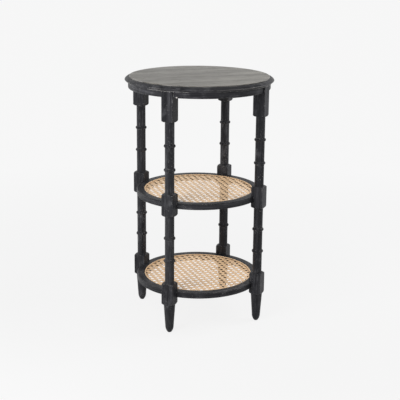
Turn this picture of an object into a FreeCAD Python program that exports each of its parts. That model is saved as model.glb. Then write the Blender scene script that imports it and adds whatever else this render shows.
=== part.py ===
import FreeCAD, Part
import math
import os
import Sketcher

# Driving dimensions: millimetres, and degrees for the turn of the weave.
driving = [
    ("overall_height", 668, "floor to the face of the top"),
    ("top_radius", 200, "nose of the moulded edge"),
    ("field_inset", 12, "raised flat, in from the nose"),
    ("field_step", 2.5, "drop from the flat to the moulding"),
    ("quirk_width", 1, "floor of the step before the moulding"),
    ("nosing_drop", 6.5, "upper curve of the nosing"),
    ("nosing_under", 2.5, "lower curve of the nosing"),
    ("bed_inset", 6, "bed moulding, in from the nose"),
    ("bed_height", 4, "bed moulding under the nosing"),
    ("apron_inset", 9, "outer face of the apron, in from the nose"),
    ("apron_height", 16.5, "apron below the top"),
    ("apron_thickness", 18, "apron, outer face to inner face"),
    ("apron_round", 2.5, "lower outer edge of the apron"),
    ("leg_inset", 22, "leg axis, in from the nose"),
    ("block_width", 32.5, "square stock of a leg"),
    ("block_round", 1.2, "eased corners of the square stock"),
    ("top_block_height", 79.5, "square left under the top"),
    ("shelf_block_height", 59, "square left at each shelf"),
    ("block_rise", 26, "block top above the ring it carries"),
    ("turning_margin", 0.1, "shoulder past the corner of the square"),
    ("column_radius", 12.4, "turned column"),
    ("cove_radius", 2, "column into block"),
    ("bead_radius", 15.4, "turned bead at its widest"),
    ("bead_height", 8, "turned bead along the column"),
    ("foot_top_radius", 15.6, "foot below its block"),
    ("foot_tip_radius", 11, "foot where its end rounds over"),
    ("foot_tip_height", 13, "rounded end of the foot"),
    ("foot_tip_curve", 30, "curve of the rounded end"),
    ("foot_sole_radius", 5.2, "flat the leg stands on"),
    ("middle_shelf_level", 357.5, "face of the middle ring"),
    ("lower_shelf_level", 113, "face of the lower ring"),
    ("ring_inset", 30.5, "outside of a shelf ring, in from the nose"),
    ("ring_face_width", 20, "face seen beside the cane"),
    ("ring_height", 16, "shelf ring, face to underside"),
    ("ring_round", 1.5, "outer edges of a shelf ring"),
    ("rabbet_depth", 4.2, "ring face to the ledge under the cane"),
    ("ledge_width", 9, "ledge under the cane"),
    ("cane_thickness", 2, "woven sheet"),
    ("cane_pitch", 15.9, "one gap of the weave to the next"),
    ("cane_gap", 9, "one gap of the weave, side to side"),
    ("cane_selvage", 1, "whole weave inside the spline"),
    ("middle_cane_turn", -2.5, "weave of the middle shelf, degrees"),
    ("lower_cane_turn", 1.5, "weave of the lower shelf, degrees"),
    ("spline_width", 3.6, "reed that holds the cane down"),
    ("spline_height", 1.7, "reed that holds the cane down"),
    ("spline_round", 0.8, "upper edges of the reed"),
    ("fit_clearance", 0.2, "room round a seated piece"),
    ("dowel_radius", 4, "apron dowel"),
    ("dowel_in_leg", 12, "dowel in a leg block"),
    ("dowel_in_rail", 15, "dowel in an apron rail"),
    ("screw_radius", 2, "screw shank"),
    ("screw_head_radius", 4, "screw head"),
    ("screw_head_height", 2.6, "screw head"),
    ("top_screw_length", 21, "screw up into the top, under its head"),
    ("top_screw_sink", 4.5, "counterbore in an apron rail"),
    ("shelf_screw_length", 44, "screw out into a leg, under its head"),
]
# Legs stand on the diagonals, and each rail starts at a leg and runs a quarter turn.
diagonal = 45
legs = {"front_left": -135, "front_right": -45, "back_right": 45, "back_left": 135}
rails = {"front": -135, "right": -45, "back": 45, "left": 135}
shelves = ("middle", "lower")
screws_per_rail = 2
gap_sides = 8
least_cut = 1

doc = FreeCAD.newDocument("tiered_side_table")
sheet = doc.addObject("Spreadsheet::Sheet", "dims")
for row, (alias, value, note) in enumerate(driving, start=1):
    sheet.set(f"A{row}", alias)
    sheet.set(f"B{row}", str(value))
    sheet.set(f"C{row}", note)
    sheet.setAlias(f"B{row}", alias)
doc.recompute()

# Levels and radii that several pieces share, as expressions of the sheet.
top_underside = (
    "(dims.overall_height - dims.field_step - dims.nosing_drop - dims.nosing_under - dims.bed_height)"
)
apron_underside = f"({top_underside} - dims.apron_height)"
apron_middle = f"({top_underside} - dims.apron_height / 2)"
field_radius = "(dims.top_radius - dims.field_inset)"
bed_radius = "(dims.top_radius - dims.bed_inset)"
apron_radius = "(dims.top_radius - dims.apron_inset)"
leg_circle_radius = "(dims.top_radius - dims.leg_inset)"
ring_radius = "(dims.top_radius - dims.ring_inset)"
apron_inside = f"({apron_radius} - dims.apron_thickness)"
apron_centre = f"({apron_radius} - dims.apron_thickness / 2)"
block_half = "(dims.block_width / 2)"
block_flat = "(dims.block_width / 2 - dims.block_round)"
turning_reach = "(dims.block_width / sqrt(2) + dims.turning_margin)"
shoulder_radius = f"({turning_reach} - {block_half})"
ring_opening = f"({ring_radius} - dims.ring_face_width)"
ring_inside = f"({ring_opening} - dims.ledge_width)"
cane_radius = f"({ring_opening} - dims.fit_clearance)"
top_screw_seat = f"({apron_underside} + dims.top_screw_sink)"


def shelf_level(shelf):
    return f"dims.{shelf}_shelf_level"


def ring_underside(shelf):
    return f"({shelf_level(shelf)} - dims.ring_height)"


def ring_middle(shelf):
    return f"({shelf_level(shelf)} - dims.rabbet_depth - (dims.ring_height - dims.rabbet_depth) / 2)"


def block_top(shelf):
    return f"({shelf_level(shelf)} + dims.block_rise)"


def block_bottom(shelf):
    return f"({block_top(shelf)} - dims.shelf_block_height)"


def new_body(label, turn=0):
    body = doc.addObject("PartDesign::Body", label)
    body.Label = label
    body.Placement = FreeCAD.Placement(FreeCAD.Vector(), FreeCAD.Rotation(FreeCAD.Vector(0, 0, 1), turn))
    return body


def origin_feature(body, role):
    return next(item for item in body.Origin.OriginFeatures if item.Role == role)


def new_sketch(body, role, name, **offsets):
    sketch = body.newObject("Sketcher::SketchObject", name)
    sketch.AttachmentSupport = (origin_feature(body, role), [""])
    sketch.MapMode = "FlatFace"
    for axis, expression in offsets.items():
        sketch.setExpression(f"AttachmentOffset.Base.{axis}", expression)
    return sketch


def bind(sketch, constraint, name, expression):
    index = sketch.addConstraint(constraint)
    sketch.renameConstraint(index, name)
    sketch.setExpression(f"Constraints.{name}", expression)


def pin_point(sketch, geometry, end, number, across, up):
    origin = (-1, 1)
    axes = (("DistanceX", "across", across, -2), ("DistanceY", "up", up, -1))
    for kind, word, expression, axis in axes:
        value = sketch.evalExpression(expression)
        name = f"{word}_{number}"
        if value == 0:
            sketch.addConstraint(Sketcher.Constraint("PointOnObject", geometry, end, axis))
        elif value > 0:
            bind(sketch, Sketcher.Constraint(kind, *origin, geometry, end, value), name, expression)
        else:
            flipped = f"-({expression})"
            bind(sketch, Sketcher.Constraint(kind, geometry, end, *origin, -value), name, flipped)


def arc_between(start, finish, radius, turn):
    chord = finish - start
    left = FreeCAD.Vector(-chord.y, chord.x, 0).normalize()
    rise = math.sqrt(radius**2 - chord.Length**2 / 4)
    halfway = (start + finish) / 2 + left * turn * (rise - radius)
    return Part.ArcOfCircle(start, halfway, finish)


def draw_outline(sketch, points):
    """Closed outline: a point may add the radius of the arc that leaves it, and 1 or -1 for its turn."""
    places = [
        FreeCAD.Vector(*[sketch.evalExpression(expression) for expression in point[:2]], 0)
        for point in points
    ]
    starts = []
    for number, point in enumerate(points):
        start = places[number]
        finish = places[(number + 1) % len(points)]
        if len(point) == 2:
            sketch.addGeometry(Part.LineSegment(start, finish))
            starts.append(1)
        else:
            radius = sketch.evalExpression(point[2])
            sketch.addGeometry(arc_between(start, finish, radius, point[3]))
            starts.append(1 if point[3] > 0 else 2)
    for number, point in enumerate(points):
        after = (number + 1) % len(points)
        finish_end = 3 - starts[number]
        sketch.addConstraint(Sketcher.Constraint("Coincident", number, finish_end, after, starts[after]))
    for number, point in enumerate(points):
        pin_point(sketch, number, starts[number], number, point[0], point[1])
        if len(point) > 2:
            radius = sketch.evalExpression(point[2])
            bind(sketch, Sketcher.Constraint("Radius", number, radius), f"radius_{number}", point[2])


def draw_circle(sketch, across, up, radius):
    centre = FreeCAD.Vector(sketch.evalExpression(across), sketch.evalExpression(up), 0)
    size = sketch.evalExpression(radius)
    number = sketch.addGeometry(Part.Circle(centre, FreeCAD.Vector(0, 0, 1), size))
    pin_point(sketch, number, 3, number, across, up)
    bind(sketch, Sketcher.Constraint("Radius", number, size), f"radius_{number}", radius)


def revolve(body, kind, sketch, name, axis="V_Axis"):
    feature = body.newObject(f"PartDesign::{kind}", name)
    feature.Profile = sketch
    feature.ReferenceAxis = (sketch, [axis])
    feature.Angle = 360
    return feature


def extrude(body, kind, sketch, name, length, reverse=False):
    feature = body.newObject(f"PartDesign::{kind}", name)
    feature.Profile = sketch
    feature.setExpression("Length", length)
    feature.Reversed = reverse
    return feature


def drill_through(body, sketch, name):
    feature = body.newObject("PartDesign::Pocket", name)
    feature.Profile = sketch
    feature.Type = "ThroughAll"
    feature.Midplane = True
    return feature


def repeat_round(body, feature, name, count):
    doc.recompute()
    pattern = body.newObject("PartDesign::PolarPattern", name)
    pattern.Originals = [feature]
    pattern.Axis = (origin_feature(body, "Z_Axis"), [""])
    pattern.Angle = 360
    pattern.Occurrences = count
    body.Tip = pattern
    return pattern


def repeat_mirrored(body, feature, role, name):
    doc.recompute()
    mirror = body.newObject("PartDesign::Mirrored", name)
    mirror.Originals = [feature]
    mirror.MirrorPlane = (origin_feature(body, role), [""])
    body.Tip = mirror
    return mirror


# The top is one turned disc: a raised field, a quirk, a nosing and a bed moulding.
def make_tabletop():
    screws = screws_per_rail * len(rails)
    body = new_body("tabletop", 180 / screws)
    profile = new_sketch(body, "XZ_Plane", "top_profile")
    nosing_start = f"({field_radius} + dims.quirk_width)"
    nosing_top = "(dims.overall_height - dims.field_step)"
    nosing_nose = f"({nosing_top} - dims.nosing_drop)"
    nosing_run = f"(dims.top_radius - {nosing_start})"
    nosing_curve = f"(({nosing_run} ^ 2 + dims.nosing_drop ^ 2) / (2 * dims.nosing_drop))"
    draw_outline(profile, [
        ("0", top_underside),
        (bed_radius, top_underside),
        (bed_radius, f"{top_underside} + dims.bed_height"),
        ("dims.top_radius - dims.nosing_under", f"{top_underside} + dims.bed_height", "dims.nosing_under", 1),
        ("dims.top_radius", nosing_nose, nosing_curve, 1),
        (nosing_start, nosing_top),
        (field_radius, nosing_top),
        (field_radius, "dims.overall_height"),
        ("0", "dims.overall_height"),
    ])
    revolve(body, "Revolution", profile, "turned_top")
    pilot = new_sketch(body, "XY_Plane", "pilot_place", z=top_underside)
    draw_circle(pilot, apron_centre, "0", "dims.screw_radius + dims.fit_clearance")
    depth = f"{top_screw_seat} + dims.top_screw_length - {top_underside} + dims.fit_clearance"
    hole = extrude(body, "Pocket", pilot, "pilot_hole", depth, True)
    repeat_round(body, hole, "pilot_holes", screws)
    return body


# A rail is a quarter of the apron ring, cut square where it meets the leg blocks.
def make_rail(name, turn):
    body = new_body(f"{name}_apron_rail", turn)
    section = new_sketch(body, "XZ_Plane", "rail_section")
    draw_outline(section, [
        (apron_inside, apron_underside),
        (f"{apron_radius} - dims.apron_round", apron_underside, "dims.apron_round", 1),
        (apron_radius, f"{apron_underside} + dims.apron_round"),
        (apron_radius, top_underside),
        (apron_inside, top_underside),
    ])
    arc = revolve(body, "Revolution", section, "rail_arc")
    arc.Angle = 360 / len(rails)
    ends = new_sketch(body, "XY_Plane", "rail_ends", z=apron_underside)
    draw_outline(ends, [
        ("0", "0"),
        ("dims.top_radius", "0"),
        ("dims.top_radius", block_half),
        (block_half, block_half),
        (block_half, "dims.top_radius"),
        ("0", "dims.top_radius"),
    ])
    extrude(body, "Pocket", ends, "cut_ends", "dims.apron_height", True)
    depth = f"{block_half} + dims.dowel_in_rail + dims.fit_clearance"
    hole_radius = "dims.dowel_radius + dims.fit_clearance"
    for role, reverse in (("XZ_Plane", False), ("YZ_Plane", True)):
        place = new_sketch(body, role, "dowel_place")
        draw_circle(place, leg_circle_radius, apron_middle, hole_radius)
        extrude(body, "Pocket", place, "dowel_hole", depth, reverse)
    for number in range(screws_per_rail):
        angle = 360 / len(rails) * (number + 0.5) / screws_per_rail
        place = (f"{apron_centre} * cos({angle} deg)", f"{apron_centre} * sin({angle} deg)")
        shank = new_sketch(body, "XY_Plane", "shank_place", z=apron_underside)
        draw_circle(shank, *place, "dims.screw_radius + dims.fit_clearance")
        extrude(body, "Pocket", shank, "shank_hole", "dims.apron_height", True)
        head = new_sketch(body, "XY_Plane", "head_place", z=apron_underside)
        draw_circle(head, *place, "dims.screw_head_radius + dims.fit_clearance")
        extrude(body, "Pocket", head, "head_sink", "dims.top_screw_sink", True)
    return body


# What the lathe takes off between two blocks, leaving a column with a bead at each third.
def column_turning(low, high):
    bead_half = "dims.bead_height / 2"
    bead_proud = "(dims.bead_radius - dims.column_radius)"
    bead_curve = f"((({bead_half}) ^ 2 + {bead_proud} ^ 2) / (2 * {bead_proud}))"
    points = [
        (turning_reach, f"{low} - {shoulder_radius}"),
        (turning_reach, f"{high} + {shoulder_radius}", shoulder_radius, -1),
        (block_half, high),
        ("dims.column_radius + dims.cove_radius", high, "dims.cove_radius", 1),
        ("dims.column_radius", f"{high} - dims.cove_radius"),
    ]
    for third in (2, 1):
        middle = f"({low} + ({high} - {low}) * {third} / 3)"
        points.append(("dims.column_radius", f"{middle} + {bead_half}", bead_curve, -1))
        points.append(("dims.column_radius", f"{middle} - {bead_half}"))
    points += [
        ("dims.column_radius", f"{low} + dims.cove_radius", "dims.cove_radius", 1),
        ("dims.column_radius + dims.cove_radius", low),
        (block_half, low, shoulder_radius, -1),
    ]
    return points


# What the lathe takes off below the lower block, leaving a tapered foot with a rounded end.
def foot_turning():
    high = block_bottom("lower")
    return [
        ("dims.foot_sole_radius", "0"),
        (turning_reach, "0"),
        (turning_reach, f"{high} + {shoulder_radius}", shoulder_radius, -1),
        (block_half, high),
        ("dims.foot_top_radius", high),
        ("dims.foot_tip_radius", "dims.foot_tip_height", "dims.foot_tip_curve", -1),
    ]


# A leg is square stock, turned between its blocks; its own +X points at the table's axis.
def make_leg(name, angle):
    body = new_body(f"{name}_leg", angle + 180)
    body.setExpression("Placement.Base.x", f"{leg_circle_radius} * cos({angle} deg)")
    body.setExpression("Placement.Base.y", f"{leg_circle_radius} * sin({angle} deg)")
    square = new_sketch(body, "XY_Plane", "stock_square")
    draw_outline(square, [
        (f"-{block_flat}", f"-{block_half}"),
        (block_flat, f"-{block_half}", "dims.block_round", 1),
        (block_half, f"-{block_flat}"),
        (block_half, block_flat, "dims.block_round", 1),
        (block_flat, block_half),
        (f"-{block_flat}", block_half, "dims.block_round", 1),
        (f"-{block_half}", block_flat),
        (f"-{block_half}", f"-{block_flat}", "dims.block_round", 1),
    ])
    extrude(body, "Pad", square, "stock", top_underside)
    top_block_bottom = f"({top_underside} - dims.top_block_height)"
    turnings = {
        "upper_column": column_turning(block_top("middle"), top_block_bottom),
        "lower_column": column_turning(block_top("lower"), block_bottom("middle")),
        "foot": foot_turning(),
    }
    for stretch, points in turnings.items():
        profile = new_sketch(body, "XZ_Plane", f"{stretch}_profile")
        draw_outline(profile, points)
        revolve(body, "Groove", profile, f"turned_{stretch}")
    for shelf in shelves:
        seat = new_sketch(body, "XY_Plane", f"{shelf}_housing_place", z=ring_underside(shelf))
        draw_circle(seat, leg_circle_radius, "0", f"{ring_radius} + dims.fit_clearance")
        height = "dims.ring_height + dims.fit_clearance"
        extrude(body, "Pocket", seat, f"{shelf}_ring_housing", height, True)
        tip = f"({ring_inside} - dims.fit_clearance + dims.shelf_screw_length - {leg_circle_radius})"
        pilot = new_sketch(body, "YZ_Plane", f"{shelf}_pilot_place", z=f"-{tip} - dims.fit_clearance")
        draw_circle(pilot, "0", ring_middle(shelf), "dims.screw_radius + dims.fit_clearance")
        extrude(body, "Pocket", pilot, f"{shelf}_pilot_hole", "dims.block_width", True)
    socket_floor = f"{block_half} - dims.dowel_in_leg - dims.fit_clearance"
    socket = new_sketch(body, "XZ_Plane", "dowel_place", z=socket_floor)
    draw_circle(socket, "0", apron_middle, "dims.dowel_radius + dims.fit_clearance")
    hole = extrude(body, "Pocket", socket, "dowel_hole", "dims.block_width", True)
    repeat_mirrored(body, hole, "XZ_Plane", "dowel_holes")
    return body


# A shelf ring has a rabbet round its opening, and a screw hole at each leg.
def make_ring(shelf):
    body = new_body(f"{shelf}_shelf_ring", diagonal)
    level = shelf_level(shelf)
    low = ring_underside(shelf)
    ledge = f"{level} - dims.rabbet_depth"
    section = new_sketch(body, "XZ_Plane", "ring_section")
    draw_outline(section, [
        (ring_inside, low),
        (f"{ring_radius} - dims.ring_round", low, "dims.ring_round", 1),
        (ring_radius, f"{low} + dims.ring_round"),
        (ring_radius, f"{level} - dims.ring_round", "dims.ring_round", 1),
        (f"{ring_radius} - dims.ring_round", level),
        (ring_opening, level),
        (ring_opening, ledge),
        (ring_inside, ledge),
    ])
    revolve(body, "Revolution", section, "ring")
    for role in ("XZ_Plane", "YZ_Plane"):
        place = new_sketch(body, role, "screw_place")
        draw_circle(place, "0", ring_middle(shelf), "dims.screw_radius + dims.fit_clearance")
        drill_through(body, place, "screw_holes")
    return body


# The reed lies on the edge of the cane, against the wall of the rabbet.
def make_spline(shelf):
    body = new_body(f"{shelf}_cane_spline")
    seat = f"({shelf_level(shelf)} - dims.rabbet_depth + dims.cane_thickness)"
    crown = f"({seat} + dims.spline_height)"
    inside = f"({cane_radius} - dims.spline_width)"
    section = new_sketch(body, "XZ_Plane", "spline_section")
    draw_outline(section, [
        (inside, seat),
        (cane_radius, seat),
        (cane_radius, f"{crown} - dims.spline_round", "dims.spline_round", 1),
        (f"{cane_radius} - dims.spline_round", crown),
        (f"{inside} + dims.spline_round", crown, "dims.spline_round", 1),
        (inside, f"{crown} - dims.spline_round"),
    ])
    revolve(body, "Revolution", section, "reed")
    return body


# The cane is a flat net: one round face with a square lattice of eight-sided gaps, given its thickness.
def make_cane(shelf):
    pitch = sheet.cane_pitch
    corner_reach = sheet.cane_gap / 2 / math.cos(math.pi / gap_sides)
    corner_steps = []
    for number in range(gap_sides):
        angle = math.pi * (2 * number + 1) / gap_sides
        corner_steps.append(FreeCAD.Vector(corner_reach * math.cos(angle), corner_reach * math.sin(angle), 0))
    radius = sheet.evalExpression(cane_radius)
    free_radius = radius - sheet.spline_width - sheet.cane_selvage
    ledge = sheet.evalExpression(f"{shelf_level(shelf)} - dims.rabbet_depth")
    reach = int(free_radius // pitch)
    wires = [Part.Wire(Part.Circle(FreeCAD.Vector(), FreeCAD.Vector(0, 0, 1), radius).toShape())]
    for column in range(-reach, reach + 1):
        for line in range(-reach, reach + 1):
            centre = FreeCAD.Vector(column * pitch, line * pitch, 0)
            if centre.Length + corner_reach > free_radius:
                continue
            corners = [centre + step for step in corner_steps]
            wires.append(Part.makePolygon(corners + corners[:1]))
    panel = doc.addObject("Part::Feature", f"{shelf}_cane_panel")
    panel.Label = f"{shelf}_cane_panel"
    net = Part.Face(wires, "Part::FaceMakerBullseye")
    panel.Shape = net.extrude(FreeCAD.Vector(0, 0, sheet.cane_thickness))
    turn = FreeCAD.Rotation(FreeCAD.Vector(0, 0, 1), sheet.get(f"{shelf}_cane_turn"))
    panel.Placement = FreeCAD.Placement(FreeCAD.Vector(0, 0, ledge), turn)
    return panel


# Each leg block takes a dowel from the rail on either side of it.
def make_dowels():
    dowels = []
    for name, angle in legs.items():
        for side in (-1, 1):
            dowel = doc.addObject("Part::Cylinder", f"{name}_dowel")
            dowel.setExpression("Radius", "dims.dowel_radius")
            dowel.setExpression("Height", "dims.dowel_in_leg + dims.dowel_in_rail")
            start = f"({block_half} - dims.dowel_in_leg)"
            turned = f"({angle} deg + {side * 90} deg)"
            radial = f"{leg_circle_radius} * %s({angle} deg) + {start} * %s{turned}"
            outward = FreeCAD.Rotation(FreeCAD.Vector(0, 0, 1), angle + side * 90)
            dowel.Placement = FreeCAD.Placement(
                FreeCAD.Vector(), outward * FreeCAD.Rotation(FreeCAD.Vector(0, 1, 0), 90)
            )
            dowel.setExpression("Placement.Base.x", radial % ("cos", "cos"))
            dowel.setExpression("Placement.Base.y", radial % ("sin", "sin"))
            dowel.setExpression("Placement.Base.z", apron_middle)
            dowels.append(dowel)
    group = doc.addObject("Part::Compound", "apron_dowels")
    group.Label = "apron_dowels"
    group.Links = dowels
    return group


def screw_outline(length):
    return [
        ("0", "-dims.screw_head_height"),
        ("dims.screw_head_radius", "-dims.screw_head_height"),
        ("dims.screw_head_radius", "0"),
        ("dims.screw_radius", "0"),
        ("dims.screw_radius", length),
        ("0", length),
    ]


# Screws stand in the counterbores of the rails and reach up into the top.
def make_top_screws():
    count = screws_per_rail * len(rails)
    body = new_body("tabletop_screws", 180 / count)
    profile = new_sketch(body, "XZ_Plane", "screw_profile", x=apron_centre, y=top_screw_seat)
    draw_outline(profile, screw_outline("dims.top_screw_length"))
    screw = revolve(body, "Revolution", profile, "screw")
    repeat_round(body, screw, "screws", count)
    return body


# Screws run outward through a ring into the four leg blocks.
def make_shelf_screws(shelf):
    body = new_body(f"{shelf}_shelf_screws", diagonal)
    head_seat = f"{ring_inside} - dims.fit_clearance"
    profile = new_sketch(body, "XZ_Plane", "screw_profile", x=head_seat, y=ring_middle(shelf))
    draw_outline(profile, [(up, across) for across, up in reversed(screw_outline("dims.shelf_screw_length"))])
    screw = revolve(body, "Revolution", profile, "screw", "H_Axis")
    repeat_round(body, screw, "screws", len(legs))
    return body


def check_document(nodes):
    for item in doc.Objects:
        if "Invalid" in item.State or "Error" in item.State:
            raise RuntimeError(f"{item.Label} failed: {item.State}")
    for node in nodes:
        if node.Shape.isNull() or not node.Shape.isValid():
            raise RuntimeError(f"{node.Label} has no valid shape")
        for feature in getattr(node, "Group", []):
            cuts = feature.TypeId in ("PartDesign::Pocket", "PartDesign::Groove")
            if cuts and feature.Shape.Volume > feature.BaseFeature.Shape.Volume - least_cut:
                raise RuntimeError(f"{feature.Label} of {node.Label} cuts nothing")


nodes = [make_tabletop()]
nodes += [make_rail(name, turn) for name, turn in rails.items()]
nodes += [make_leg(name, angle) for name, angle in legs.items()]
for shelf in shelves:
    nodes += [make_ring(shelf), make_cane(shelf), make_spline(shelf), make_shelf_screws(shelf)]
nodes += [make_dowels(), make_top_screws()]
doc.recompute()
check_document(nodes)

os.makedirs("parts", exist_ok=True)
for node in nodes:
    node.Shape.exportStep(f"parts/{node.Label}.step")
    print(node.Label, len(node.Shape.Solids), round(node.Shape.Volume))
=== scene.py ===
import math

import bpy
from mathutils import Matrix, Vector


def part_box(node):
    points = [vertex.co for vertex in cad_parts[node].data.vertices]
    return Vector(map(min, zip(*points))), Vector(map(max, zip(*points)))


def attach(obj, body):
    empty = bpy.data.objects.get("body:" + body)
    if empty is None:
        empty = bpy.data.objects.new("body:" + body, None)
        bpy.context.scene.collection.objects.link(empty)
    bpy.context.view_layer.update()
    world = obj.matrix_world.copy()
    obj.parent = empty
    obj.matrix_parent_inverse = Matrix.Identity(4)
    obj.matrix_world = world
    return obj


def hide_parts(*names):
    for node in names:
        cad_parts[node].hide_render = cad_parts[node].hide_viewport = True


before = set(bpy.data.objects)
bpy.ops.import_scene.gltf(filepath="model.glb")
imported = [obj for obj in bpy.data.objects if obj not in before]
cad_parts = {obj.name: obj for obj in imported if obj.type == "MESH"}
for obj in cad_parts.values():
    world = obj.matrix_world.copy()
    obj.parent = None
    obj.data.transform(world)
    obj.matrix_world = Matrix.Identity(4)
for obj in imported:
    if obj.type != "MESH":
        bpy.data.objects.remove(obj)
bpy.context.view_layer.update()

scene = bpy.context.scene
scene.view_settings.view_transform = "Standard"
shelves = ("middle", "lower")
print("frame loaded with", len(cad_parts), "nodes")


# selecting and joining

squareOn = 0.9  # a face is square to an axis when its normal has this much of it


def startFresh():
    bpy.ops.object.select_all(action="DESELECT")


def pickOnly(piece):
    startFresh()
    piece.select_set(True)
    bpy.context.view_layer.objects.active = piece


def joinAll(pieces):
    pickOnly(pieces[0])
    for piece in pieces[1:]:
        piece.select_set(True)
    bpy.ops.object.join()
    return bpy.context.object


def selectInMesh(piece, part, test):
    # called in edit mode: picks the vertices, edges or faces that pass the test
    bpy.ops.mesh.select_mode(type={"vertices": "VERT", "edges": "EDGE", "polygons": "FACE"}[part])
    bpy.ops.mesh.select_all(action="DESELECT")
    bpy.ops.object.mode_set(mode="OBJECT")
    for item in getattr(piece.data, part):
        item.select = test(item)
    bpy.ops.object.mode_set(mode="EDIT")


# wiring nodes: an input is a plain value or another node's output

def addNode(tree, kind, inputs=None, **settings):
    made = tree.nodes.new("ShaderNode" + kind)
    for name, value in settings.items():
        setattr(made, name, value)
    for name, value in (inputs or {}).items():
        if isinstance(value, bpy.types.NodeSocket):
            tree.links.new(value, made.inputs[name])
        else:
            made.inputs[name].default_value = value
    return made


def addMath(tree, operation, first, second=0.0, third=0.0):
    return addNode(tree, "Math", {0: first, 1: second, 2: third}, operation=operation).outputs[0]


def addVectorMath(tree, operation, inputs, output="Vector"):
    return addNode(tree, "VectorMath", inputs, operation=operation).outputs[output]


def addMapRange(tree, value, before, after):
    ends = {"From Min": before[0], "From Max": before[1], "To Min": after[0], "To Max": after[1]}
    return addNode(tree, "MapRange", {"Value": value, **ends}).outputs[0]


def addRamp(tree, factor, stops):
    # two stops, each a place on the ramp and its strength
    ramp = addNode(tree, "ValToRGB", {"Fac": factor})
    for element, (place, strength) in zip(ramp.color_ramp.elements, stops):
        element.position = place
        element.color = (strength, strength, strength, 1)
    return ramp.outputs["Color"]


def addMix(tree, factor, first, second):
    # inputs 6 and 7 and output 2 are the Mix node's colours
    first, second = [(*tone, 1) if isinstance(tone, tuple) else tone for tone in (first, second)]
    return addNode(tree, "Mix", {0: factor, 6: first, 7: second}, data_type="RGBA").outputs[2]


def addNoise(tree, vector, noise):
    # noise holds its scale, in features to the metre, its detail and its roughness
    scale, detail, roughness = noise
    inputs = {"Vector": vector, "Scale": scale, "Detail": detail, "Roughness": roughness}
    return addNode(tree, "TexNoise", inputs).outputs["Fac"]


def addPatches(tree, vector, finish, name):
    # the noise that a finish lists under this name, sharpened by the stops beside it
    return addRamp(tree, addNoise(tree, vector, finish[name + "Noise"]), finish[name + "Stops"])


def addRoughness(tree, noise, finish):
    spread = finish["roughSpread"]
    return addMath(tree, "MULTIPLY_ADD", noise, spread, finish["roughness"] - spread / 2)


def stretchVector(tree, place, stretch):
    return addNode(tree, "Mapping", {"Vector": place, "Scale": stretch}).outputs[0]


def turnVector(tree, place, turn):
    return addNode(tree, "Mapping", {"Vector": place, "Rotation": (0, 0, math.radians(turn))}).outputs[0]


roundGrain = {
    "radius": 0.17,
    "heightShare": -1.7,
}


def roundVector(tree, place, stretch):
    # follows the way round the table's axis, with no seam
    split = addNode(tree, "SeparateXYZ", {"Vector": place})
    flat = addNode(tree, "CombineXYZ", {"X": split.outputs["X"], "Y": split.outputs["Y"]}).outputs[0]
    radius = addVectorMath(tree, "LENGTH", {0: flat}, "Value")
    around = addVectorMath(tree, "NORMALIZE", {0: flat})
    around = addVectorMath(tree, "SCALE", {0: around, "Scale": roundGrain["radius"] * stretch})
    across = addMath(tree, "MULTIPLY_ADD", split.outputs["Z"], roundGrain["heightShare"], radius)
    across = addNode(tree, "CombineXYZ", {"Z": across}).outputs[0]
    return addVectorMath(tree, "ADD", {0: around, 1: across})


def newMaterial(name):
    material = bpy.data.materials.new(name)
    material.use_nodes = True
    tree = material.node_tree
    place = addNode(tree, "TexCoord").outputs["Object"]
    return material, tree, tree.nodes["Principled BSDF"], place


def finishShader(tree, shader, finish, tone, rough, height):
    # a finish gives its bump as a depth and a strength
    depth, strength = finish["bump"]
    bump = addNode(tree, "Bump", {"Height": height, "Distance": depth, "Strength": strength})
    tree.links.new(tone, shader.inputs["Base Color"])
    tree.links.new(rough, shader.inputs["Roughness"])
    tree.links.new(bump.outputs[0], shader.inputs["Normal"])


def paint(nodeName, material):
    # a CAD node keeps its mesh and only takes the new finish
    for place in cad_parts[nodeName].material_slots:
        place.material = material


# black painted wood

blackWood = {
    "dark": (0.0088, 0.0090, 0.0106),
    "light": (0.040, 0.040, 0.0447),
    "faded": (0.095, 0.095, 0.102),
    "worn": (0.27, 0.26, 0.25),
    "chip": (0.40, 0.385, 0.37),
    "specular": 0.14,
    "roughness": 0.46,
    "roughSpread": 0.16,
    "bump": (0.0002, 0.5),
    "figureRelief": 1.5,
    "stretch": 0.05,
    "figureNoise": (85.0, 4.0, 0.6),
    "figureStops": ((0.32, 0.0), (0.68, 1.0)),
    "brushNoise": (420.0, 3.0, 0.6),
    "brushStops": ((0.36, 0.65), (0.52, 0.0)),
    "thinStops": ((0.44, 0.0), (0.64, 1.0)),
    "cloudNoise": (30.0, 4.0, 0.6),
    "cloudStops": ((0.50, 0.0), (0.70, 1.0)),
    "edgeReach": 0.003,
    "edgeSamples": 6,
    "edgeStops": ((0.90, 1.0), (0.99, 0.0)),
    "legWear": 0.08,
    "ringWear": 0.11,
    "topWear": 0.16,
    "rubStretch": 0.15,
    "rubNoise": (90.0, 6.0, 0.72),
    "rubStart": 0.60,
    "rubFull": 0.73,
    "speckNoise": (400.0, 2.0, 0.5),
    "speckStops": ((0.65, 0.0), (0.71, 1.0)),
    "scuffNoise": (16.0, 3.0, 0.6),
    "scuffStops": ((0.49, 0.05), (0.66, 0.8)),
    "chipAt": (-0.1163, -0.1515, 0.6378),
    "chipReach": 0.0026,
    "chipStops": ((0.75, 1.0), (1.0, 0.0)),
}

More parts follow.
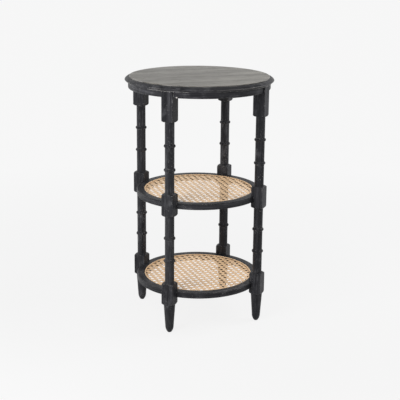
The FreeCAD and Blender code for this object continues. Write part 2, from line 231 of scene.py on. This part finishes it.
# the flat field of the top is rubbed to a warm satin tone, and its light colour is partly painted sheen, the
# backdrop's grazing reflection painted into the colour
topField = {
    "level": 0.667,
    "brown": (0.0415, 0.0345, 0.0215),
    "greyAndPaintedSheen": (0.161, 0.147, 0.115),
    "grainDark": (0.031, 0.027, 0.021),
    "specular": 0.21,
    "roughness": 0.30,
    "roughSpread": -0.24,
    "poreRoughness": 0.16,
    "stretch": (0.07, 1, 1),
    "bandNoise": (15.0, 9.0, 0.68),
    "bandStops": ((0.39, 0.0), (0.61, 1.0)),
    "grainNoise": (400.0, 4.0, 0.65),
    "grainStops": ((0.34, 0.55), (0.48, 0.0)),
    "poreStops": ((0.34, 1.0), (0.48, 0.0)),
}


def addTopField(tree, place, tone, rough):
    height = addNode(tree, "SeparateXYZ", {"Vector": place}).outputs["Z"]
    field = addMath(tree, "GREATER_THAN", height, topField["level"])
    boards = stretchVector(tree, place, topField["stretch"])
    band = addNoise(tree, boards, topField["bandNoise"])
    grain = addNoise(tree, boards, topField["grainNoise"])
    # painted sheen: the lighter rubbed tone also stands in for the backdrop's grazing reflection on the top
    rubbed = addMix(tree, addRamp(tree, band, topField["bandStops"]), topField["brown"], topField["greyAndPaintedSheen"])
    rubbed = addMix(tree, addRamp(tree, grain, topField["grainStops"]), rubbed, topField["grainDark"])
    pores = addRamp(tree, grain, topField["poreStops"])
    satin = addRoughness(tree, band, topField)
    satin = addMath(tree, "MULTIPLY_ADD", pores, topField["poreRoughness"], satin)
    return addMix(tree, field, tone, rubbed), addMix(tree, field, rough, satin)


def makeBlackWood(name, grain, wear, hasField=False):
    # grain is the axis that the brush marks follow, or round the table
    material, tree, shader, place = newMaterial(name)
    if grain == "round":
        along = roundVector(tree, place, blackWood["stretch"])
    else:
        along = stretchVector(tree, place, [blackWood["stretch"] if axis == grain else 1 for axis in "xyz"])
    figure = addNoise(tree, along, blackWood["figureNoise"])
    brush = addNoise(tree, along, blackWood["brushNoise"])
    streak = addRamp(tree, figure, blackWood["figureStops"])
    tone = addMix(tree, streak, blackWood["dark"], blackWood["light"])
    tone = addMix(tree, addRamp(tree, brush, blackWood["brushStops"]), tone, blackWood["dark"])
    # the paint is thin in clouds, between the brush marks
    cloud = addPatches(tree, place, blackWood, "cloud")
    thin = addMath(tree, "MULTIPLY", cloud, addRamp(tree, brush, blackWood["thinStops"]))
    tone = addMix(tree, thin, tone, blackWood["faded"])
    # arrises, where the paint is rubbed through in streaks along a round rim and in spots on a leg
    bevel = addNode(tree, "Bevel", {"Radius": blackWood["edgeReach"]}, samples=blackWood["edgeSamples"])
    normal = addNode(tree, "NewGeometry").outputs["Normal"]
    meet = addVectorMath(tree, "DOT_PRODUCT", {0: bevel.outputs[0], 1: normal}, "Value")
    edge = addRamp(tree, meet, blackWood["edgeStops"])
    rubWay = place if grain == "z" else roundVector(tree, place, blackWood["rubStretch"])
    rubStops = ((blackWood["rubStart"] - wear, 0.0), (blackWood["rubFull"] - wear, 1.0))
    rub = addRamp(tree, addNoise(tree, rubWay, blackWood["rubNoise"]), rubStops)
    # specks on the arrises and in scuffed places
    scuffed = addMath(tree, "ADD", edge, addPatches(tree, place, blackWood, "scuff"))
    speck = addMath(tree, "MULTIPLY", addPatches(tree, place, blackWood, "speck"), scuffed)
    tone = addMix(tree, speck, tone, blackWood["chip"])
    rough = addRoughness(tree, brush, blackWood)
    if hasField:
        tone, rough = addTopField(tree, place, tone, rough)
    shader.inputs["Specular IOR Level"].default_value = (topField if hasField else blackWood)["specular"]
    tone = addMix(tree, addMath(tree, "MULTIPLY", edge, rub), tone, blackWood["worn"])
    # one chip, low on the front rail beside a leg
    away = addVectorMath(tree, "DISTANCE", {0: place, 1: blackWood["chipAt"]}, "Value")
    away = addMath(tree, "DIVIDE", away, blackWood["chipReach"])
    tone = addMix(tree, addRamp(tree, away, blackWood["chipStops"]), tone, blackWood["chip"])
    relief = addMath(tree, "MULTIPLY_ADD", figure, blackWood["figureRelief"], brush)
    finishShader(tree, shader, blackWood, tone, rough, relief)
    return material


legWood = makeBlackWood("blackLegWood", "z", blackWood["legWear"])
ringWood = makeBlackWood("blackRingWood", "round", blackWood["ringWear"])
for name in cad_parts:
    if name.endswith("_leg"):
        paint(name, legWood)
    elif name.endswith(("_ring", "_apron_rail")):
        paint(name, ringWood)
paint("tabletop", makeBlackWood("blackTopWood", "x", blackWood["topWear"], True))
print("black wood on the top, apron, legs and rings")


# natural cane and reed

caneFinish = {
    "pale": (0.785, 0.574, 0.366),
    "tan": (0.642, 0.426, 0.235),
    "darkFibreAndShade": (0.44, 0.25, 0.125),
    "roughness": 0.425,
    "roughSpread": 0.25,
    "bump": (0.0002, 0.5),
    "strandStretch": (0.03, 1, 0.2),
    "strandNoise": (170.0, 1.0, 0.4),
    "strandStops": ((0.32, 0.0), (0.68, 1.0)),
    "fibreStretch": (0.05, 1, 1),
    "fibreNoise": (900.0, 3.0, 0.6),
    "fibreStops": ((0.28, 0.55), (0.50, 0.0)),
    "knotNoise": (45.0, 3.0, 0.6),
    "knotStops": ((0.60, 0.0), (0.80, 0.45)),
    "sideShadeStops": ((0.2, 0.5), (0.85, 0.0)),
}

reedFinish = {
    "roughness": 0.5,
    "roughSpread": 0.2,
    "bump": (0.0002, 0.5),
    "stretch": 0.05,
    "fibreNoise": (1100.0, 3.0, 0.6),
    "fibreStops": ((0.30, 0.0), (0.62, 1.0)),
    "broadNoise": (30.0, 3.0, 0.6),
    "broadStops": ((0.40, 0.0), (0.75, 0.5)),
}

# the four ways that strands run, in degrees from the table's X
strandTurns = {"Upright": 90, "Cross": 0, "Rising": 45, "Falling": -45}


def makeCane(name, turn):
    # the fibres lie along the strand
    material, tree, shader, place = newMaterial(name)
    turned = turnVector(tree, place, -turn)
    fibre = addNoise(tree, stretchVector(tree, turned, caneFinish["fibreStretch"]), caneFinish["fibreNoise"])
    strand = addPatches(tree, stretchVector(tree, turned, caneFinish["strandStretch"]), caneFinish, "strand")
    tone = addMix(tree, strand, caneFinish["tan"], caneFinish["pale"])
    tone = addMix(tree, addRamp(tree, fibre, caneFinish["fibreStops"]), tone, caneFinish["darkFibreAndShade"])
    tone = addMix(tree, addPatches(tree, place, caneFinish, "knot"), tone, caneFinish["pale"])
    # painted shade: faces turned away from straight up, the strand sides, are darkened as if in shadow
    normal = addNode(tree, "NewGeometry").outputs["True Normal"]
    facing = addNode(tree, "SeparateXYZ", {"Vector": normal}).outputs["Z"]
    tone = addMix(tree, addRamp(tree, facing, caneFinish["sideShadeStops"]), tone, caneFinish["darkFibreAndShade"])
    finishShader(tree, shader, caneFinish, tone, addRoughness(tree, fibre, caneFinish), fibre)
    return material


def makeReed(name):
    material, tree, shader, place = newMaterial(name)
    fibre = addNoise(tree, roundVector(tree, place, reedFinish["stretch"]), reedFinish["fibreNoise"])
    tone = addMix(tree, addRamp(tree, fibre, reedFinish["fibreStops"]), caneFinish["tan"], caneFinish["pale"])
    tone = addMix(tree, addPatches(tree, place, reedFinish, "broad"), tone, caneFinish["tan"])
    finishShader(tree, shader, reedFinish, tone, addRoughness(tree, fibre, reedFinish), fibre)
    return material


caneMaterials = {way: makeCane("cane" + way, turn) for way, turn in strandTurns.items()}
reed = makeReed("paleReed")
for shelf in shelves:
    paint(shelf + "_cane_spline", reed)
print("reed on the splines")


# woven cane: one cell of the weave is modelled, repeated over the shelf and trimmed to the round

weave = {
    "pitch": 0.0159,
    "width": 0.0032,
    "thickness": 0.0003,
    "pairGap": 0.0035,
    "pairLift": 0.00010,
    "diagonalLift": 0.00021,
    "roundOver": 0.00014,
    "cells": 20,
    "mergeReach": 0.00002,
    "wobble": 0.0004,
    "wobbleScale": 0.03,
    "trimRadius": 0.1486,
    "trimCuts": 36,
    "smoothAngle": 40.0,
    "middleTurn": -2.5,
    "lowerTurn": 1.5,
    "middleShift": (-0.175, 0.105),  # shares of the pitch
    "lowerShift": (0.435, -0.19),
}


def makeStrand(way, length, lifts, start):
    # a flat strip with its upper edges rounded, raised and lowered ring by ring where it crosses the others
    startFresh()
    bpy.ops.mesh.primitive_cube_add(size=1)
    strand = bpy.context.object
    strand.scale = (length, weave["width"], weave["thickness"])
    bpy.ops.object.transform_apply()
    points = strand.data.vertices
    half = length / 2
    step = length / (len(lifts) - 1)

    def runsAlong(edge):
        first, last = [points[end].co for end in edge.vertices]
        return abs(first.x - last.x) > half

    def runsAlongTop(edge):
        return runsAlong(edge) and points[edge.vertices[0]].co.z > 0

    bpy.ops.object.mode_set(mode="EDIT")
    selectInMesh(strand, "polygons", lambda face: abs(face.normal.x) > squareOn)
    bpy.ops.mesh.delete(type="FACE")
    selectInMesh(strand, "edges", runsAlongTop)
    bpy.ops.mesh.bevel(offset=weave["roundOver"], segments=1, affect="EDGES")
    selectInMesh(strand, "edges", runsAlong)
    bpy.ops.mesh.subdivide(number_cuts=len(lifts) - 2)
    for number, lift in enumerate(lifts):
        if lift:
            at = number * step - half
            selectInMesh(strand, "vertices", lambda point: abs(point.co.x - at) < step / 4)
            bpy.ops.transform.translate(value=(0, 0, lift))
    bpy.ops.object.mode_set(mode="OBJECT")
    strand.data.materials.append(caneMaterials[way])
    strand.rotation_euler = (0, 0, math.radians(strandTurns[way]))
    strand.location = (*start, 0)
    bpy.ops.object.transform_apply()
    return strand


def makeWeaveCell():
    pitch, lift, high = weave["pitch"], weave["pairLift"], weave["diagonalLift"]
    side = weave["pairGap"] / 2
    quarter = pitch / 4
    slant = pitch / math.sqrt(2)
    under = [0, 0, -lift, lift, 0, 0]
    over = [0, 0, lift, -lift, 0, 0]
    rise = [-high, -high, high, high]
    fall = [high, high, -high, -high]
    return joinAll([
        makeStrand("Upright", pitch, under, (-side, 0)),
        makeStrand("Upright", pitch, over, (side, 0)),
        makeStrand("Cross", pitch, over, (0, -side)),
        makeStrand("Cross", pitch, under, (0, side)),
        makeStrand("Rising", slant, rise, (-quarter, quarter)),
        makeStrand("Rising", slant, fall, (quarter, -quarter)),
        makeStrand("Falling", slant, fall, (-quarter, -quarter)),
        makeStrand("Falling", slant, rise, (quarter, quarter)),
    ])


def addRepeat(piece, axis):
    array = piece.modifiers.new("repeat", "ARRAY")
    array.count = weave["cells"]
    array.use_relative_offset = False
    array.use_constant_offset = True
    array.constant_offset_displace = [weave["pitch"] if axis == number else 0 for number in range(3)]
    array.use_merge_vertices = True
    array.merge_threshold = weave["mergeReach"]
    bpy.ops.object.modifier_apply(modifier=array.name)


def addWobble(piece, shelf):
    cloud = bpy.data.textures.new(shelf + "Wobble", "CLOUDS")
    cloud.noise_scale = weave["wobbleScale"]
    cloud.cloud_type = "COLOR"
    shake = piece.modifiers.new("wobble", "DISPLACE")
    shake.texture = cloud
    shake.texture_coords = "LOCAL"
    shake.direction = "RGB_TO_XYZ"
    shake.strength = weave["wobble"]
    bpy.ops.object.modifier_apply(modifier=shake.name)


def trimRound():
    # straight cuts round the rim, each closed before the next
    bpy.ops.object.mode_set(mode="EDIT")
    for number in range(weave["trimCuts"]):
        outward = Matrix.Rotation(math.tau * number / weave["trimCuts"], 3, "Z") @ Vector((1, 0, 0))
        bpy.ops.mesh.select_all(action="SELECT")
        bpy.ops.mesh.bisect(plane_co=outward * weave["trimRadius"], plane_no=outward, clear_outer=True)
        bpy.ops.mesh.select_all(action="SELECT")
        bpy.ops.mesh.fill_holes(sides=0)
    bpy.ops.object.mode_set(mode="OBJECT")


def makeWeave(cell, shelf):
    pickOnly(cell)
    bpy.ops.object.duplicate()
    panel = bpy.context.object
    panel.name = shelf + "WovenCane"
    addRepeat(panel, 0)
    addRepeat(panel, 1)
    back = -weave["pitch"] * (weave["cells"] - 1) / 2
    panel.location = [back + weave["pitch"] * share for share in weave[shelf + "Shift"]] + [0]
    bpy.ops.object.transform_apply()
    addWobble(panel, shelf)
    trimRound()
    low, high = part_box(shelf + "_cane_panel")
    panel.rotation_euler = (0, 0, math.radians(weave[shelf + "Turn"]))
    panel.location = (0, 0, (low.z + high.z) / 2)
    bpy.ops.object.transform_apply()
    bpy.ops.object.shade_smooth_by_angle(angle=math.radians(weave["smoothAngle"]))
    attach(panel, "root")
    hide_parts(shelf + "_cane_panel")
    print(panel.name, "has", len(panel.data.polygons), "faces")


weaveCell = makeWeaveCell()
for shelf in shelves:
    makeWeave(weaveCell, shelf)
bpy.data.objects.remove(weaveCell)


# screws with a domed head and a cross recess, modelled once and copied into each bore

screw = {
    "headRadius": 0.004,
    "headHeight": 0.0026,
    "sides": 24,
    "domeRound": 0.0011,
    "domeSegments": 3,
    "shankRadius": 0.002,
    "pointLength": 0.006,
    "slotWidth": 0.0009,
    "slotLength": 0.0046,
    "slotDepth": 0.0013,
    "smoothAngle": 35.0,
    "topCount": 8,
    "topStart": 22.5,
    "shelfCount": 4,
    "shelfStart": 45.0,
    "shelfHeadAt": 0.1377,
}

zincFinish = {
    "bright": (0.62, 0.62, 0.63),
    "dull": (0.40, 0.40, 0.42),
    "grime": (0.12, 0.11, 0.10),
    "roughness": 0.40,
    "roughSpread": 0.3,
    "bump": (0.00005, 0.4),
    "cloudNoise": (900.0, 3.0, 0.6),
    "cloudStops": ((0.35, 0.0), (0.65, 1.0)),
    "scratchStretch": (1, 0.1, 1),
    "scratchNoise": (3000.0, 2.0, 0.55),
    "scratchStops": ((0.62, 0.0), (0.75, 0.7)),
}


def makeZinc(name):
    material, tree, shader, place = newMaterial(name)
    cloud = addNoise(tree, place, zincFinish["cloudNoise"])
    brushed = stretchVector(tree, place, zincFinish["scratchStretch"])
    scratch = addNoise(tree, brushed, zincFinish["scratchNoise"])
    bloom = addRamp(tree, cloud, zincFinish["cloudStops"])
    tone = addMix(tree, bloom, zincFinish["dull"], zincFinish["bright"])
    tone = addMix(tree, addRamp(tree, scratch, zincFinish["scratchStops"]), tone, zincFinish["grime"])
    shader.inputs["Metallic"].default_value = 1.0
    finishShader(tree, shader, zincFinish, tone, addRoughness(tree, cloud, zincFinish), scratch)
    return material


def cutSlot(piece, turn):
    startFresh()
    bpy.ops.mesh.primitive_cube_add(size=1, rotation=(0, 0, math.radians(turn)))
    slot = bpy.context.object
    slot.scale = (screw["slotLength"], screw["slotWidth"], screw["slotDepth"] * 2)
    bpy.ops.object.transform_apply()
    pickOnly(piece)
    cut = piece.modifiers.new("crossRecess", "BOOLEAN")
    cut.operation = "DIFFERENCE"
    cut.object = slot
    bpy.ops.object.modifier_apply(modifier=cut.name)
    bpy.data.objects.remove(slot)


def makeScrew(length):
    # stands on its head, with the shank and point up
    startFresh()
    height = screw["headHeight"]
    bpy.ops.mesh.primitive_cylinder_add(
        vertices=screw["sides"], radius=screw["headRadius"], depth=height, location=(0, 0, height / 2))
    piece = bpy.context.object
    bpy.ops.object.transform_apply()
    bpy.ops.object.mode_set(mode="EDIT")
    points = piece.data.vertices
    selectInMesh(piece, "edges", lambda edge: max(points[end].co.z for end in edge.vertices) < height / 4)
    bpy.ops.mesh.bevel(offset=screw["domeRound"], segments=screw["domeSegments"], affect="EDGES")
    selectInMesh(piece, "polygons", lambda face: face.normal.z > squareOn)
    bpy.ops.mesh.inset(thickness=screw["headRadius"] - screw["shankRadius"])
    for rise in (length - height - screw["pointLength"], screw["pointLength"]):
        bpy.ops.mesh.extrude_region_move(TRANSFORM_OT_translate={"value": (0, 0, rise)})
    bpy.ops.mesh.merge(type="CENTER")
    bpy.ops.object.mode_set(mode="OBJECT")
    for turn in (0, 90):
        cutSlot(piece, turn)
    piece.data.materials.clear()
    piece.data.materials.append(zinc)
    bpy.ops.object.shade_smooth_by_angle(angle=math.radians(screw["smoothAngle"]))
    return piece


def placeScrews(model, name, node, places):
    copies = []
    for place in places:
        pickOnly(model)
        bpy.ops.object.duplicate()
        copy = bpy.context.object
        copy.matrix_world = place
        bpy.ops.object.transform_apply()
        copies.append(copy)
    joined = joinAll(copies)
    joined.name = name
    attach(joined, "root")
    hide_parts(node)
    bpy.data.objects.remove(model)


def aroundTable(count, start):
    return [Matrix.Rotation(math.radians(start + 360 / count * number), 4, "Z") for number in range(count)]


def makeScrews():
    # the box of each set gives the circle that its screws stand on, or how far they reach out
    low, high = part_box("tabletop_screws")
    circle = (high.x - screw["headRadius"]) / math.cos(math.radians(screw["topStart"]))
    seat = Matrix.Translation((circle, 0, low.z))
    turns = aroundTable(screw["topCount"], screw["topStart"])
    model = makeScrew(high.z - low.z)
    placeScrews(model, "tabletopScrews", "tabletop_screws", [turn @ seat for turn in turns])
    outward = Matrix.Rotation(math.radians(90), 4, "Y")
    for shelf in shelves:
        low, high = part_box(shelf + "_shelf_screws")
        reach = (high.x - screw["shankRadius"] * math.sqrt(0.5)) * math.sqrt(2)
        seat = Matrix.Translation((screw["shelfHeadAt"], 0, (low.z + high.z) / 2)) @ outward
        turns = aroundTable(screw["shelfCount"], screw["shelfStart"])
        model = makeScrew(reach - screw["shelfHeadAt"])
        placeScrews(model, shelf + "ShelfScrews", shelf + "_shelf_screws", [turn @ seat for turn in turns])


zinc = makeZinc("zincPlate")
makeScrews()
print("screws in the apron and the rings")


# beech dowels in the apron

beechFinish = {
    "pale": (0.66, 0.47, 0.29),
    "tan": (0.50, 0.33, 0.19),
    "fleck": (0.34, 0.20, 0.11),
    "roughness": 0.6,
    "roughSpread": 0.2,
    "bump": (0.0001, 0.4),
    "fibreStretch": (0.2, 0.2, 1),
    "fibreNoise": (900.0, 4.0, 0.55),
    "fibreStops": ((0.35, 0.0), (0.65, 1.0)),
    "fleckNoise": (1400.0, 1.0, 0.55),
    "fleckStops": ((0.64, 0.0), (0.72, 0.6)),
}


def makeBeech(name):
    material, tree, shader, place = newMaterial(name)
    along = stretchVector(tree, place, beechFinish["fibreStretch"])
    fibre = addNoise(tree, along, beechFinish["fibreNoise"])
    streak = addRamp(tree, fibre, beechFinish["fibreStops"])
    tone = addMix(tree, streak, beechFinish["tan"], beechFinish["pale"])
    tone = addMix(tree, addPatches(tree, place, beechFinish, "fleck"), tone, beechFinish["fleck"])
    finishShader(tree, shader, beechFinish, tone, addRoughness(tree, fibre, beechFinish), fibre)
    return material


paint("apron_dowels", makeBeech("bareBeech"))
print("beech on the dowels")


# floor, light and camera

studio = {
    "floorSize": 80.0,
    "floorTone": 0.55,
    "floorRoughness": 0.9,
    "floorFade": (0.5, 1.8),
    "floorShown": (0.948, 1.0),
    "floorShare": 0.9,
    "backTurn": 20.3,
    "backFade": (-0.9, 0.6),
    "backLevels": (0.28, 0.95),
    "overheadFade": (0.2, 0.7),
    "overheadLevels": (1.0, 0.6),
    "aim": (0, 0, 0.42),
}

# soft boxes: way round from the table's X axis, distance, height, width and watts
softBoxes = {
    "keyBox": {"turn": -145.0, "away": 1.0, "height": 0.78, "width": 0.6, "power": 11.0},
    "fillBox": {"turn": -12.0, "away": 0.9, "height": 1.0, "width": 0.5, "power": 8.0},
}


def makeFloor():
    startFresh()
    bpy.ops.mesh.primitive_plane_add(size=studio["floorSize"])
    floor = bpy.context.object
    floor.name = "floor"
    material, tree, shader, place = newMaterial("paleFloor")
    tone = studio["floorTone"]
    shader.inputs["Base Color"].default_value = (tone, tone, tone, 1)
    shader.inputs["Roughness"].default_value = studio["floorRoughness"]
    shader.inputs["Specular IOR Level"].default_value = 0.0
    # the lamps fall off with distance, so the paper is shown a little lighter further out
    away = addVectorMath(tree, "LENGTH", {0: place}, "Value")
    shown = addMapRange(tree, away, studio["floorFade"], studio["floorShown"])
    paper = addNode(tree, "Emission", {"Strength": shown})
    ray = addNode(tree, "LightPath")
    seen = addMath(tree, "ADD", ray.outputs["Is Camera Ray"], ray.outputs["Is Glossy Ray"])
    seen = addMath(tree, "ADD", seen, ray.outputs["Is Transmission Ray"])
    seen = addMath(tree, "MULTIPLY", addMath(tree, "MINIMUM", seen, 1.0), studio["floorShare"])
    mix = addNode(tree, "MixShader", {0: seen, 1: shader.outputs[0], 2: paper.outputs[0]})
    tree.links.new(mix.outputs[0], tree.nodes["Material Output"].inputs["Surface"])
    floor.data.materials.append(material)


def makeWorld():
    world = bpy.data.worlds.new("studioWorld")
    scene.world = world
    world.use_nodes = True
    tree = world.node_tree
    background = tree.nodes["Background"]
    background.inputs["Color"].default_value = (1, 1, 1, 1)
    # dim behind the camera and overhead, bright low down behind the table
    way = addNode(tree, "TexCoord").outputs["Generated"]
    split = addNode(tree, "SeparateXYZ", {"Vector": turnVector(tree, way, studio["backTurn"])})
    behind = addMapRange(tree, split.outputs["Y"], studio["backFade"], studio["backLevels"])
    above = addMapRange(tree, split.outputs["Z"], studio["overheadFade"], studio["overheadLevels"])
    tree.links.new(addMath(tree, "MULTIPLY", behind, above), background.inputs["Strength"])


def makeLamp(name, box):
    light = bpy.data.lights.new(name, "AREA")
    light.size = box["width"]
    light.energy = box["power"]
    lamp = bpy.data.objects.new(name, light)
    scene.collection.objects.link(lamp)
    turn = math.radians(box["turn"])
    lamp.location = (box["away"] * math.cos(turn), box["away"] * math.sin(turn), box["height"])
    lamp.rotation_euler = (Vector(studio["aim"]) - lamp.location).to_track_quat("-Z", "Y").to_euler()
    # soft light only: a lamp mirrored in the satin top would burn out from some sides
    lamp.visible_camera = False
    lamp.visible_glossy = False


photoCamera = {
    "turn": -20.313,
    "place": (0.003765, -2.549368, 1.043707),
    "lookDown": 14.384,
    "roll": 0.520,
    "focalPixels": 958.064,
    "imagePixels": 400,
    "shiftUp": -0.06,
    "sensorWidth": 36.0,
    "clipEnd": 200.0,
}


def makeCamera():
    lens = bpy.data.cameras.new("photoCamera")
    camera = bpy.data.objects.new("photoCamera", lens)
    scene.collection.objects.link(camera)
    turn = Matrix.Rotation(math.radians(photoCamera["turn"]), 4, "Z")
    look = Matrix.Rotation(math.radians(90 - photoCamera["lookDown"]), 4, "X")
    roll = Matrix.Rotation(math.radians(photoCamera["roll"]), 4, "Z")
    camera.matrix_world = turn @ Matrix.Translation(photoCamera["place"]) @ look @ roll
    lens.sensor_width = photoCamera["sensorWidth"]
    lens.lens = photoCamera["focalPixels"] / photoCamera["imagePixels"] * lens.sensor_width
    lens.shift_y = photoCamera["shiftUp"]
    lens.clip_end = photoCamera["clipEnd"]
    scene.camera = camera


makeFloor()
makeWorld()
for name, box in softBoxes.items():
    makeLamp(name, box)
makeCamera()
print("floor, light and camera in place")
